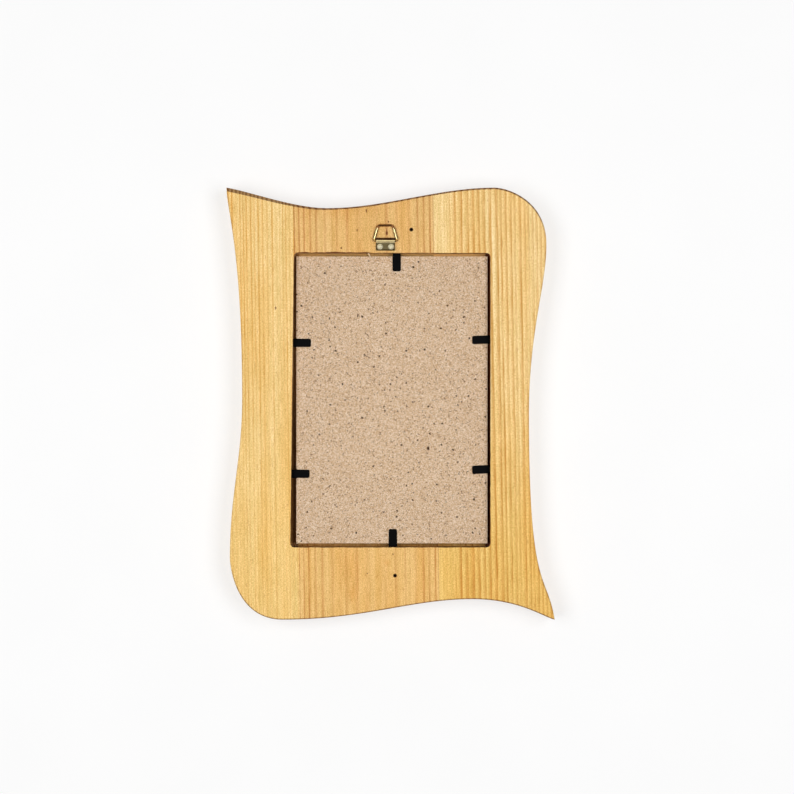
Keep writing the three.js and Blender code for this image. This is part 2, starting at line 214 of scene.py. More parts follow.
def aside(tree, place, x, y, z):
    """The same place, shifted, so that two patterns of one kind don't fall on each other."""
    return put(tree, "VectorMath", {0: place, 1: (x, y, z)}).outputs[0]


def mottle(tree, place, across, along, deep, detail=2.0):
    """Noise from 0 to 1 whose patches have these sizes in millimetres."""
    finer = (1 / across, 1 / along, 1 / deep)
    stretch = put(tree, "VectorMath", {0: place, 1: finer}, operation="MULTIPLY")
    return put(tree, "TexNoise", {"Vector": stretch.outputs[0], "Scale": 1.0, "Detail": detail}).outputs[0]


def facing_up(tree):
    """1 where the surface looks straight up or down, and 0 where it is upright."""
    normal = put(tree, "TexCoord", {}).outputs["Normal"]
    return work_out(tree, "ABSOLUTE", put(tree, "SeparateXYZ", {0: normal}).outputs[2])


def mark_of(tree, name):
    """A value that the mesh holds for each of its faces."""
    return put(tree, "Attribute", {}, attribute_name=name).outputs["Fac"]


def new_finish(name):
    """An empty material, its node tree and its surface shader."""
    finish = bpy.data.materials.new(name)
    finish.use_nodes = True
    return finish, finish.node_tree, finish.node_tree.nodes["Principled BSDF"]


def roughen(tree, shader, height, strength, depth):
    """Fine relief, depth metres deep, on a shader."""
    relief = put(tree, "Bump", {"Height": height, "Strength": strength, "Distance": depth})
    tree.links.new(relief.outputs[0], shader.inputs["Normal"])


def off_line(tree, across, line):
    """How far a place lies from an upright line, on either side."""
    return work_out(tree, "ABSOLUTE", minus(tree, across, line))


def count_lines(tree, place, lines):
    """How many ring lines lie before a place, with the share of a ring that is passed since the last."""
    first, last = lines[0], lines[-1]
    share = put(tree, "MapRange", {0: place, 1: first, 2: last}, clamp=False).outputs[0]
    counter = put(tree, "FloatCurve", {1: share})
    points = counter.mapping.curves[0].points
    for number, line in enumerate(lines[1:-1], 1):
        points.new((line - first) / (last - first), number / (len(lines) - 1))
    for point in points:
        point.handle_type = "VECTOR"
    counter.mapping.update()
    return times(tree, counter.outputs[0], len(lines) - 1)


def straight_rings(lines, shift):
    """Rings that cross the board's face as straight lines at these places, all moved by a shift."""
    moved = [line + shift for line in lines]

    def count(tree, across, depth):
        return count_lines(tree, across, moved)
    return count


def arched_rings(wander):
    """Rings round a pith below the middle board. The ones next to the pith wander to the right."""
    def count(tree, across, depth):
        moved = ease(tree, off_line(tree, across, PITH_X), 10, 33, wander, 0.0)
        sideways = minus(tree, minus(tree, across, moved), PITH_X)
        down = minus(tree, PITH_DEPTH, depth)
        spot = put(tree, "CombineXYZ", {0: sideways, 1: down}).outputs[0]
        radius = put(tree, "VectorMath", {0: spot}, operation="LENGTH").outputs["Value"]
        return count_lines(tree, minus(tree, radius, MIDDLE_RADII_SHIFT), MIDDLE_RADII)
    return count


def thin_line(tree, share, chance):
    """Late wood as a soft line, as dark on one side as on the other, and fainter in some years."""
    late_wood = ease(tree, work_out(tree, "PINGPONG", share, 0.5), 0.02, 0.26, 1.0, 0.0)
    return times(tree, late_wood, ease(tree, chance, 0, 1, 0.4, 1.1))


def graded_band(tree, share, chance):
    """Late wood that darkens slowly up to the ring's end and stops short there."""
    rise = ease(tree, share, 0.28, 1.0)
    fall = ease(tree, share, 0.0, 0.16, 1.0, 0.0)
    late_wood = work_out(tree, "MAXIMUM", rise, fall)
    return times(tree, late_wood, ease(tree, chance, 0, 1, 0.75, 1.05))


def left_strength(tree, across):
    """How strongly the left board's rings show: two of its years are weaker."""
    faint = ease(tree, off_line(tree, across, LEFT_FAINT_YEAR), 0.9, 1.6, 0.45, 1.0)
    mild = ease(tree, off_line(tree, across, LEFT_MILD_YEAR), 0.5, 1.1, 0.9, 1.0)
    return times(tree, faint, mild)


def middle_strength(tree, across):
    """The middle board's rings are weak over the pith, where the saw runs along them."""
    return ease(tree, off_line(tree, across, PITH_X), 22, 36, 0.42, 1.0)


def right_strength(tree, across):
    """The right board's rings start weak at its glue line, and one year is very dark."""
    rise = ease(tree, across, 31.5, 34.5, 0.35, 1.0)
    fall = ease(tree, across, 57.9, 60.0, 0.0, 0.12)
    dark = ease(tree, off_line(tree, across, RIGHT_DARK_YEAR), 0.9, 1.9, 1.4, 1.0)
    return times(tree, minus(tree, rise, fall), dark)


def reach_from(tree, place, x, y, half_width, half_length, z=back_z / MM):
    """Distance from a spot, on the wood's back or at a height z, in its own half width and half length."""
    offset = put(tree, "VectorMath", {0: place, 1: (x, y, z)}, operation="SUBTRACT").outputs[0]
    sizes = (1 / half_width, 1 / half_length, 0.2)
    scaled = put(tree, "VectorMath", {0: offset, 1: sizes}, operation="MULTIPLY").outputs[0]
    return put(tree, "VectorMath", {0: scaled}, operation="LENGTH").outputs["Value"]


def stray(tree, place):
    """How far a ring strays from its line, in a slow sway and a fine quiver."""
    sway = minus(tree, mottle(tree, place, 25, 70, 25), 0.5)
    quiver = minus(tree, mottle(tree, place, 2.5, 12, 6), 0.5)
    return plus(tree, times(tree, sway, RING_SWAY), times(tree, quiver, RING_QUIVER))


def wood_figure(tree, colour, grain, fibre):
    """Flames, streaks, fibres, flecks and resin canals, all drawn out along the grain."""
    flame = mottle(tree, aside(tree, grain, 5, 11, 0), 4, 15, 8, 3.0)
    colour = vary(tree, colour, flame, 0.3, 0.7, FLAME_CONTRAST, PINE_WARMTH)
    streak = mottle(tree, aside(tree, grain, 31, 0, 9), 1.1, 60, 6, 3.0)
    colour = vary(tree, colour, streak, 0.3, 0.7, STREAK_CONTRAST, PINE_WARMTH)
    colour = vary(tree, colour, fibre, 0.25, 0.75, FIBRE_CONTRAST, PINE_WARMTH)
    fleck = minus(tree, mottle(tree, aside(tree, grain, 3, 17, 0), 0.4, 0.8, 0.6, 1.0), 0.5)
    fleck = times(tree, fleck, ease(tree, facing_up(tree), 0.4, 0.9, 0.3, 1.0))
    colour = vary(tree, colour, fleck, -0.25, 0.25, FLECK_CONTRAST, PINE_WARMTH)
    canals = ease(tree, mottle(tree, grain, 0.35, 2.6, 0.8, 0.0), 0.68, 0.78)
    return stain(tree, times(tree, canals, 0.3), colour, RESIN)


def cut_walls(tree, colour, x, y, depth):
    """End grain is darker. The routed walls have painted light at the top, are darker towards the bottom, and are
    burnt at the sides, where the burn also stands for painted shade in the narrow gaps.
    """
    routed = mark_of(tree, "routed")
    soaked = minus(tree, 0.75, times(tree, routed, 0.55))
    colour = stain(tree, times(tree, mark_of(tree, "end_grain"), soaked), colour, SOAKED_END, "MULTIPLY")
    # Painted light on the routed walls along the top; the walls are darker towards the bottom.
    painted_light_at_top = times(tree, routed, ease(tree, y, -20, 20))
    colour = stain(tree, painted_light_at_top, colour, PAINTED_LIGHT_WALL)
    darker_towards_bottom = times(tree, routed, ease(tree, y, 20, -20, 0.0, 0.5))
    colour = stain(tree, darker_towards_bottom, colour, LOWER_WALL_DARKER, "MULTIPLY")
    # Beside the board's sides the walls are burnt, and the burn also paints the shade of the narrow gaps.
    board_half = (board_high.x - board_low.x) / 2 / MM
    beside_board = ease(tree, off_line(tree, x, rebate_middle.x / MM), board_half - 1.5, board_half - 0.5)
    burn_and_painted_shade = times(tree, times(tree, routed, beside_board), ease(tree, x, -10, 10, 0.62, 0.92))
    colour = stain(tree, burn_and_painted_shade, colour, BURNT_AND_SHADED_WALL, "MULTIPLY")
    scorched = times(tree, mark_of(tree, "scorched"), ease(tree, depth, 2.0, 5.0, 1.0, 0.1))
    return stain(tree, scorched, colour, SCORCHED_RIM, "MULTIPLY")


def torn_rim(tree, colour, place, x, y, depth):
    """Along the left part of the rebate's upper rim the cutter tore out the end grain and left it dark."""
    above_rim = minus(tree, y, rebate_top / MM)
    ragged = ease(tree, mottle(tree, place, 4.5, 4.5, 8, 3.0), 0.25, 0.75, -0.4, 0.25)
    torn = ease(tree, plus(tree, above_rim, ragged), 0.25, 0.5, 0.95, 0.0)
    torn = times(tree, torn, ease(tree, above_rim, -0.3, -0.15))
    left_of_splinter = ease(tree, x, TORN_UP_TO_X - 4, TORN_UP_TO_X, 1.0, 0.0)
    beside_corner = ease(tree, x, board_low.x / MM - 0.5, board_low.x / MM + 1.0)
    near_back = ease(tree, depth, 1.0, 2.5, 1.0, 0.0)
    for bound in (left_of_splinter, beside_corner, near_back):
        torn = times(tree, torn, bound)
    return stain(tree, torn, colour, TORN_RIM)


def pine(name, early, late, lean, tilt, rings_at, line, strength_at, lower_strength, lower_tint,
         glue_lines=(), patches=(), marks=(), nails=()):
    """Pine with its growth rings. The grain leans from the upright and the rings tilt through the board."""
    finish, tree, shader = new_finish(name)
    place = millimetres(tree)
    x, y, z = put(tree, "SeparateXYZ", {0: place}).outputs
    depth = minus(tree, back_z / MM, z)
    upright = plus(tree, x, times(tree, y, lean))
    grain = put(tree, "CombineXYZ", {0: upright, 1: y, 2: z}).outputs[0]
    across = plus(tree, minus(tree, upright, times(tree, depth, tilt)), stray(tree, place))

    rings = rings_at(tree, across, depth)
    ring_share = work_out(tree, "FRACT", rings)
    year = work_out(tree, "ROUND", rings)
    chance = put(tree, "TexWhiteNoise", {"W": year}, noise_dimensions="1D").outputs[0]
    late_wood = times(tree, line(tree, ring_share, chance), strength_at(tree, across))
    late_wood = times(tree, late_wood, ease(tree, y, 60, -60, 1.0, lower_strength))
    broken = ease(tree, mottle(tree, grain, 0.9, 22, 4, 3.0), 0.3, 0.7, 0.55, 1.25)
    late_wood = times(tree, late_wood, broken)
    colour = stain(tree, late_wood, early, late)
    for glue_line in glue_lines:
        seam = ease(tree, off_line(tree, upright, glue_line), 0.12, 0.5, 0.5, 0.0)
        colour = stain(tree, seam, colour, GLUE)

    tone = ease(tree, mottle(tree, place, 9, 90, 12), 0.3, 0.7)
    colour = stain(tree, tone, colour, WARM_TONE, "MULTIPLY")
    colour = stain(tree, ease(tree, y, 25, -90), colour, lower_tint, "MULTIPLY")
    for patch in patches:
        ragged = ease(tree, mottle(tree, grain, 1.2, 5, 5), 0, 1, -0.3, 0.3)
        reach = plus(tree, reach_from(tree, place, *patch), ragged)
        colour = stain(tree, ease(tree, reach, 0.0, 1.3, 0.5, 0.0), colour, STAINED_PATCH, "MULTIPLY")
    fibre = mottle(tree, grain, 0.32, 7, 1.0, 4.0)
    colour = wood_figure(tree, colour, grain, fibre)
    for mark in marks:
        spot = ease(tree, reach_from(tree, place, *mark), 0.4, 1.4, 0.92, 0.0)
        colour = stain(tree, spot, colour, PITCH)
    roughness = ease(tree, fibre, 0.2, 0.8, 0.5, 0.68)
    # Nail holes, not cut in the mesh, are painted dark: rust and painted shade of the hole.
    for nail_x, nail_y in nails:
        reach = reach_from(tree, place, nail_x, nail_y, NAIL_RADIUS, NAIL_RADIUS)
        hole = ease(tree, reach, 0.8, 1.3, 1.0, 0.0)
        colour = stain(tree, hole, colour, NAIL_HOLE_SHADE_AND_RUST)
        roughness = work_out(tree, "MAXIMUM", roughness, hole)

    colour = cut_walls(tree, colour, x, y, depth)
    colour = torn_rim(tree, colour, place, x, y, depth)
    # The sandpapered edges take grime and painted shade, darker over the late wood.
    dashes = ease(tree, work_out(tree, "PINGPONG", ring_share, 0.5), 0.08, 0.36, 1.0, 0.0)
    edge_grime_and_shade = stain(tree, dashes, EDGE_GRIME_AND_SHADE, LATE_WOOD_GRIME_AND_SHADE)
    colour = stain(tree, times(tree, mark_of(tree, "eased"), 0.95), colour, edge_grime_and_shade)
    tree.links.new(colour, shader.inputs["Base Color"])
    tree.links.new(roughness, shader.inputs["Roughness"])
    shader.inputs["Specular IOR Level"].default_value = PINE_GLOSS
    relief = minus(tree, fibre, times(tree, late_wood, 0.2))
    roughen(tree, shader, relief, 0.25, 0.08 * MM)
    return finish


def solid_copy(node):
    """The mesh of a solid, with each of its flat faces in one piece."""
    mesh = bmesh.new()
    mesh.from_mesh(frame["nodes"][node].data)
    bmesh.ops.remove_doubles(mesh, verts=mesh.verts, dist=MERGE_DISTANCE)
    bmesh.ops.dissolve_limit(mesh, angle_limit=FLAT_WITHIN, verts=mesh.verts, edges=mesh.edges)
    return mesh


def fit(mesh, name, finish, body, slot, *nodes):
    """A finished mesh as a piece that rides on a body and stands for its solids."""
    for face in mesh.faces:
        face.smooth = True
    data = bpy.data.meshes.new(name)
    mesh.to_mesh(data)
    mesh.free()
    data.materials.append(finish)
    data.set_sharp_from_angle(angle=SHARP_FROM)
    piece = bpy.data.objects.new(name, data)
    bpy.context.scene.collection.objects.link(piece)
    even = piece.modifiers.new("even_light", "WEIGHTED_NORMAL")
    even.weight = 100
    even.keep_sharp = True
    if body:
        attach(piece, body)
    if nodes:
        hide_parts(*nodes)
    return piece


def in_rebate(spot):
    """Whether a spot lies inside the routed rebate or the window, or on their walls."""
    inside = True
    for axis in (0, 1):
        low = rebate_low[axis] - REBATE_MARGIN
        high = rebate_high[axis] + REBATE_MARGIN
        inside = inside and low < spot[axis] < high
    return inside


def at_back(corner):
    """Whether a corner lies in the flat back of the panel."""
    return corner.co.z > back_z - SAME_HEIGHT


def walls_of(part):
    """The upright faces at a corner or an edge."""
    return [face for face in part.link_faces if abs(face.normal.z) < UPRIGHT_BELOW]


def meets_back(edge):
    """Whether an edge is the upper rim of the rebate."""
    level = all(at_back(corner) for corner in edge.verts)
    return level and len(walls_of(edge)) == 1 and in_rebate((edge.verts[0].co + edge.verts[1].co) / 2)


def on_arris(edge):
    """Whether an edge bounds the sandpapered slope along the outline."""
    if len(edge.link_faces) != 2 or edge.calc_face_angle() < ARRIS_FROM:
        return False
    return any(UPRIGHT_BELOW < abs(face.normal.z) < 0.99 for face in edge.link_faces)


def end_facing(face):
    """1 for a face that looks along the grain, up or down the frame, and 0 for one that looks sideways."""
    level = face.normal.x ** 2 + face.normal.y ** 2
    return face.normal.y ** 2 / level if level > 1e-6 else 0.0


def grime_and_shade_on(face):
    """How dark a sandpapered edge is: grime in its end grain, with painted shade that makes the top edges darkest
    and the bottom ones lighter.
    """
    on_top = face.normal.y > 0 and face.calc_center_median().y > 0
    most = TOP_EDGE_GRIME_AND_SHADE if on_top else BOTTOM_EDGE_GRIME_AND_SHADE
    share = (math.sqrt(end_facing(face)) - GRIME_AND_SHADE_STARTS_AT) / (GRIME_AND_SHADE_FULL_AT - GRIME_AND_SHADE_STARTS_AT)
    return SIDE_EDGE_GRIME_AND_SHADE + (most - SIDE_EDGE_GRIME_AND_SHADE) * min(max(share, 0.0), 1.0)


def width_of(face):
    """About how wide a long narrow face is."""
    return face.calc_area() / max(edge.calc_length() for edge in face.edges)


def widen_slope(mesh):
    """The sanded slope is a little wider along the top, and much wider at the left horn."""
    for corner in mesh.verts:
        slopes = [face for face in corner.link_faces if 0.3 < face.normal.z < 0.95 and face.normal.y > 0.3]
        if slopes and at_back(corner):
            share = (HORN_FACET_END_X - corner.co.x) / (HORN_FACET_END_X - panel_low.x)
            corner.co.y -= TOP_FACET * end_facing(slopes[0]) + HORN_FACET * max(share, 0.0)


def wobble_rim(mesh):
    """The router was led by hand, so the rebate's rim isn't quite straight."""
    for edge in [edge for edge in mesh.edges if meets_back(edge)]:
        cuts = int(edge.calc_length() / RIM_STEP)
        if cuts:
            bmesh.ops.subdivide_edges(mesh, edges=[edge], cuts=cuts)
    for corner in mesh.verts:
        walls = walls_of(corner)
        if at_back(corner) and len(walls) == 1 and in_rebate(corner.co):
            corner.co += walls[0].normal * RIM_WOBBLE * noise.noise(corner.co * RIM_WOBBLE_SCALE)


def round_over(mesh):
    """The edges of the slope and of the rim are rounded by sandpaper."""
    mesh.normal_update()
    arrises = [edge for edge in mesh.edges if on_arris(edge)]
    bmesh.ops.bevel(mesh, geom=arrises, offset=ROUNDED_ARRIS, segments=2, profile=0.5, affect="EDGES")
    rim = [edge for edge in mesh.edges if meets_back(edge)]
    bmesh.ops.bevel(mesh, geom=rim, offset=ROUNDED_RIM, segments=2, profile=0.5, affect="EDGES")


def tell_faces_apart(mesh):
    """Each face holds how dark its edge is, from grime and painted shade, and whether it is end grain, routed or
    scorched.
    """
    mesh.normal_update()
    eased = mesh.faces.layers.float.new("eased")
    end_grain = mesh.faces.layers.float.new("end_grain")
    routed = mesh.faces.layers.float.new("routed")
    scorched = mesh.faces.layers.float.new("scorched")
    for face in mesh.faces:
        middle = face.calc_center_median()
        slope = abs(face.normal.z)
        if slope < LEVEL_FROM:
            face[end_grain] = face.normal.y ** 2
        if in_rebate(middle) and SAME_HEIGHT < middle.z < back_z - SAME_HEIGHT:
            face[routed] = 1.0
            if middle.z > lip_z + SAME_HEIGHT:
                face[scorched] = 0.4 + 0.6 * end_facing(face)
        elif 0.02 < slope < LEVEL_FROM:
            face[eased] = FACET_GRIME_AND_SHADE if width_of(face) > FACET_WIDTH else grime_and_shade_on(face)


def stave(node, finish, slot):
    """A board of the panel: the solid's own shape, worked by hand but never past its sawn size."""
    low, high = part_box(node)
    mesh = solid_copy(node)
    widen_slope(mesh)
    wobble_rim(mesh)
    round_over(mesh)
    for corner in mesh.verts:
        for axis in range(3):
            corner.co[axis] = min(max(corner.co[axis], low[axis]), high[axis])
    tell_faces_apart(mesh)
    return fit(mesh, node + "_wood", finish, "frame", slot, node)


pale_pine = pine(
    name="pale_pine",
    early=srgb(243, 210, 139),
    late=srgb(220, 165, 75),
    lean=LEFT_LEAN,
    tilt=0.15,
    rings_at=straight_rings(LEFT_LINES, LEFT_LINES_SHIFT),
    line=thin_line,
    strength_at=left_strength,
    lower_strength=0.5,
    lower_tint=srgb(254, 250, 236),
    marks=[(-59.8, 49.8, 0.4, 0.8)],
)
warm_pine_top = pine(
    name="warm_pine_top",
    early=srgb(231, 188, 117),
    late=srgb(188, 124, 58),
    lean=MIDDLE_LEAN,
    tilt=0.0,
    rings_at=arched_rings(0.0),
    line=thin_line,
    strength_at=middle_strength,
    lower_strength=1.0,
    lower_tint=UNTINTED,
    glue_lines=[LEFT_GLUE_LINE, RIGHT_GLUE_LINE],
    patches=[(-28.0, 104.0, 30.0, 9.0)],
    marks=[
        (-12.6, 100.4, 0.35, 1.0),
        (-1.1, 94.7, 0.35, 0.6),
        (-17.4, 90.3, 0.3, 0.7),
        (-25.6, 81.0, 0.45, 0.6),
        (-1.95, 90.15, 0.26, 1.4),
        (-1.95, 88.75, 0.62, 1.15),
    ],
    nails=[(10.8, 90.6)],
)
warm_pine_bottom = pine(
    name="warm_pine_bottom",
    early=srgb(235, 191, 116),
    late=srgb(194, 130, 58),
    lean=MIDDLE_LEAN,
    tilt=0.0,
    rings_at=arched_rings(PITH_WANDER),
    line=thin_line,
    strength_at=middle_strength,
    lower_strength=0.9,
    lower_tint=UNTINTED,
    glue_lines=[RIGHT_GLUE_LINE],
    patches=[(-20.3, -86.0, 6.0, 17.0), (-19.5, -99.0, 3.0, 5.0), (-2.0, -82.7, 2.2, 2.2)],
    marks=[(1.3, -78.4, 0.3, 0.5), (-12.1, -88.4, 0.3, 0.4)],
    nails=[(2.3, -89.5)],
)
striped_pine = pine(
    name="striped_pine",
    early=srgb(247, 217, 150),
    late=srgb(212, 160, 82),
    lean=RIGHT_LEAN,
    tilt=0.3,
    rings_at=straight_rings(RIGHT_LINES, RIGHT_LINES_SHIFT),
    line=graded_band,
    strength_at=right_strength,
    lower_strength=0.95,
    lower_tint=srgb(247, 233, 188),
)
stave("left_stave", pale_pine, "pale_pine")
stave("top_rail", warm_pine_top, "warm_pine")
stave("bottom_rail", warm_pine_bottom, "warm_pine")
stave("right_stave", striped_pine, "striped_pine")

# A splinter of the top rail stands out of the routed wall, pale and dry, where the cutter tore the end
# grain. It is still rooted in the wood and lies down over the gap to the backing board.
SPLINTER_WIDTH = 0.45 * MM
SPLINTER_THICKNESS = 0.12 * MM
SPLINTER_TAPER = 0.6
SPLINTER_ACROSS = Vector((0.8, 0.55, 0.0))
SPLINTER_PATH = ((-11.7, 78.7, 15.2), (-11.2, 77.7, 15.3), (-10.6, 76.7, 14.8), (-9.8, 75.4, 14.0))
SPLINTER_SHADES = (srgb(222, 196, 156), srgb(240, 224, 194))


def loft(mesh, loops):
    """Walls between loops of points that follow each other, closed at both ends."""
    rings = [[mesh.verts.new(point) for point in loop] for loop in loops]
    for first, second in zip(rings, rings[1:]):
        for index in range(len(first)):
            after = (index + 1) % len(first)
            mesh.faces.new((first[index], first[after], second[after], second[index]))
    mesh.faces.new(rings[0])
    mesh.faces.new(rings[-1])
    bmesh.ops.recalc_face_normals(mesh, faces=mesh.faces)


def dry_splinter():
    """Torn pine, pale, dull and streaked."""
    finish, tree, shader = new_finish("dry_splinter")
    streak = mottle(tree, millimetres(tree), 0.15, 1.2, 0.3, 3.0)
    tree.links.new(stain(tree, streak, *SPLINTER_SHADES), shader.inputs["Base Color"])
    shader.inputs["Roughness"].default_value = 0.75
    roughen(tree, shader, streak, 0.2, 0.03 * MM)
    return finish


def splinter():
    """A flat sliver that narrows to its tip."""
    mesh = bmesh.new()
    loops = []
    points = [Vector(point) * MM for point in SPLINTER_PATH]
    across = SPLINTER_ACROSS * SPLINTER_WIDTH / 2
    up = Vector((0.0, 0.0, SPLINTER_THICKNESS / 2))
    for index, point in enumerate(points):
        taper = 1.0 - SPLINTER_TAPER * index / (len(points) - 1)
        loops.append([point + across * taper, point + up, point - across * taper, point - up])
    loft(mesh, loops)
    return mesh


fit(splinter(), "top_rail_splinter", dry_splinter(), "frame", "warm_pine")

# The glass is a cut pane of thin float glass that lies loose on the lip. Its cut edges are seamed
# with a stone, and it is faintly green.
GLASS_SEAM = 0.15 * MM
GLASS_SHADES = (srgb(238, 247, 244), srgb(246, 250, 248))
GLASS_IOR = 1.52


def eased_block(node, easing, steps, gap=0.0):
    """A block the size of its solid with its edges rounded over, and a gap of air below it."""
    low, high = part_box(node)
    low.z += gap
    mesh = bmesh.new()
    bmesh.ops.create_cube(mesh, size=1.0)
    bmesh.ops.scale(mesh, vec=high - low, verts=mesh.verts)
    bmesh.ops.translate(mesh, vec=(low + high) / 2, verts=mesh.verts)
    bmesh.ops.bevel(mesh, geom=mesh.edges[:], offset=easing, segments=steps, profile=0.5, affect="EDGES")
    return mesh


def clear_glass():
    """Window glass with faint smears from wiping."""
    finish, tree, shader = new_finish("clear_glass")
    place = millimetres(tree)
    tint = stain(tree, mottle(tree, place, 40, 40, 4), *GLASS_SHADES)
    tree.links.new(tint, shader.inputs["Base Color"])
    smear = ease(tree, mottle(tree, place, 18, 9, 5, 4.0), 0.45, 0.8, 0.02, 0.07)
    tree.links.new(smear, shader.inputs["Roughness"])
    shader.inputs["Transmission Weight"].default_value = 1.0
    shader.inputs["IOR"].default_value = GLASS_IOR
    return finish


pane = eased_block("glass_pane", GLASS_SEAM, 2)
fit(pane, "glass_pane_clear", clear_glass(), "frame", "glass", "glass_pane")

# The insert is a blank sheet of white card between glass and board, in the place of a photograph.
# It is cut to the same size and lies loose.
CARD_EDGE = 0.05 * MM
CARD_GAP = 0.03 * MM
CARD_SHADES = (srgb(240, 238, 230), srgb(249, 247, 241))


def blank_card():
    """Uncoated white card with a fine pulp."""
    finish, tree, shader = new_finish("blank_card")
    pulp = mottle(tree, millimetres(tree), 0.35, 0.5, 0.5, 4.0)
    tree.links.new(stain(tree, pulp, *CARD_SHADES), shader.inputs["Base Color"])
    shader.inputs["Roughness"].default_value = 0.85
    roughen(tree, shader, pulp, 0.15, 0.03 * MM)
    return finish


card = eased_block("picture_insert", CARD_EDGE, 1, CARD_GAP)
fit(card, "picture_insert_card", blank_card(), "frame", "paper", "picture_insert")

# The backing board is hardboard: wood fibres pressed to a thin sheet, matt and beige, with dark specks of
# bark and short loose fibres in it. It is sawn to size, so its edge is a little furry.
BOARD_EDGE = 0.07 * MM
BOARD_RAGGED = 0.05 * MM
BOARD_EDGE_STEP = 0.9 * MM
BOARD_LONG_EDGE = 20 * MM
BOARD_SHADES = (srgb(209, 177, 140), srgb(219, 188, 153))
BOARD_WARMTH = (1.0, 1.6, 2.5)
BOARD_GLOSS = 0.1
GRIT_SIZE = 0.28
GRIT_CONTRAST = 0.2
CHIP_SIZE = 0.4
CHIP_CONTRAST = 0.13
FIBRE_TURNS = (15, 62, 108, 155)
DARK_STRAND = srgb(150, 116, 84)
PALE_STRAND = srgb(238, 215, 190)
LOOSE_HAIR = srgb(104, 70, 44)
BARK = ((0.9, 0.29, 0.26, 0.85), (2.9, 0.58, 0.55, 1.0))
BARK_PULL = (1.3, 1.3, 1.3)
BARK_BROWN = srgb(46, 20, 0)
LARGE_SPECK = (19.65, -23.35, 0.75, 1.2)
LARGE_SPECK_BROWN = srgb(60, 34, 20)
NICK_SCALE = 900
FINE_NICK_SCALE = 2500


def bark(tree, place, spacing, radius, share):
    """Specks of bark through the board, this wide at most and this far apart, in a share of the places."""
    ragged = put(tree, "TexNoise", {"Vector": place, "Scale": 2.2, "Detail": 1.0}).outputs["Color"]
    torn = put(tree, "VectorMath", {0: ragged, 1: BARK_PULL, 2: place}, operation="MULTIPLY_ADD").outputs[0]
    cells = put(tree, "TexVoronoi", {"Vector": torn, "Scale": 1 / spacing})
    chance, size, shade = put(tree, "SeparateColor", {0: cells.outputs["Color"]}).outputs
    reach = work_out(tree, "DIVIDE", cells.outputs["Distance"], ease(tree, size, 0, 1, 0.6, 1.1))
    speck = ease(tree, reach, 0.7 * radius / spacing, radius / spacing, 1.0, 0.0)
    speck = times(tree, speck, ease(tree, shade, 0, 1, 0.6, 1.0))
    return times(tree, speck, work_out(tree, "LESS_THAN", chance, share))


def pressed_fibre():
    """Beige hardboard: fine grit and chips, strands laid every way, loose hairs and specks of bark."""
    finish, tree, shader = new_finish("pressed_fibre")
    place = millimetres(tree)
    cloud = mottle(tree, place, 8, 8, 8, 3.0)
    colour = stain(tree, cloud, *BOARD_SHADES)
    grit = mottle(tree, place, GRIT_SIZE, GRIT_SIZE, GRIT_SIZE)
    colour = vary(tree, colour, grit, 0.32, 0.68, GRIT_CONTRAST, BOARD_WARMTH)
    chips = put(tree, "TexVoronoi", {"Vector": place, "Scale": 1 / CHIP_SIZE}).outputs["Color"]
    chip_shade = put(tree, "SeparateColor", {0: chips}).outputs[0]
    colour = vary(tree, colour, chip_shade, 0, 1, CHIP_CONTRAST, BOARD_WARMTH)
    for turn in FIBRE_TURNS:
        angle = math.radians(turn)
        turned = put(tree, "VectorRotate", {"Vector": place, "Angle": angle}, rotation_type="Z_AXIS")
        shifted = aside(tree, turned.outputs[0], turn, 0, 0)
        strand = mottle(tree, shifted, 0.28, 1.3, 0.5, 1.0)
        colour = stain(tree, ease(tree, strand, 0.66, 0.8, 0.0, 0.45), colour, DARK_STRAND)
        colour = stain(tree, ease(tree, strand, 0.34, 0.2, 0.0, 0.4), colour, PALE_STRAND)
        hair = mottle(tree, aside(tree, shifted, 0, 40, 0), 0.42, 2.4, 0.6, 0.0)
        colour = stain(tree, ease(tree, hair, 0.75, 0.79, 0.0, 0.8), colour, LOOSE_HAIR)
    for spacing, radius, share, darkness in BARK:
        speck = times(tree, bark(tree, place, spacing, radius, share), darkness)
        colour = stain(tree, speck, colour, BARK_BROWN)
    reach = reach_from(tree, place, *LARGE_SPECK, board_high.z / MM)
    colour = stain(tree, ease(tree, reach, 0.6, 1.1, 0.95, 0.0), colour, LARGE_SPECK_BROWN)
    tree.links.new(colour, shader.inputs["Base Color"])
    shader.inputs["Roughness"].default_value = 0.88
    shader.inputs["Specular IOR Level"].default_value = BOARD_GLOSS
    roughen(tree, shader, grit, 0.25, 0.06 * MM)
    return finish


def furry_block():
    """The board with its upper and lower edges broken up a little, never past its sawn size."""
    mesh = eased_block("backing_board", BOARD_EDGE, 3)
    long_edges = [edge for edge in mesh.edges if edge.calc_length() > BOARD_LONG_EDGE]
    for edge in long_edges:
        cuts = int(edge.calc_length() / BOARD_EDGE_STEP)
        bmesh.ops.subdivide_edges(mesh, edges=[edge], cuts=cuts)
    centre = (board_low + board_high) / 2
    for corner in mesh.verts:
        nick = abs(noise.noise(corner.co * NICK_SCALE))
        nick += 0.5 * abs(noise.noise(corner.co * FINE_NICK_SCALE))
        for axis in (0, 1):
            reach = corner.co[axis] - centre[axis]
            if abs(reach) > (board_high - board_low)[axis] / 2 - 1.5 * BOARD_EDGE:
                corner.co[axis] -= math.copysign(min(nick, 1.0) * BOARD_RAGGED, reach)
    return mesh


fit(furry_block(), "backing_board_fibre", pressed_fibre(), "frame", "hardboard", "backing_board")

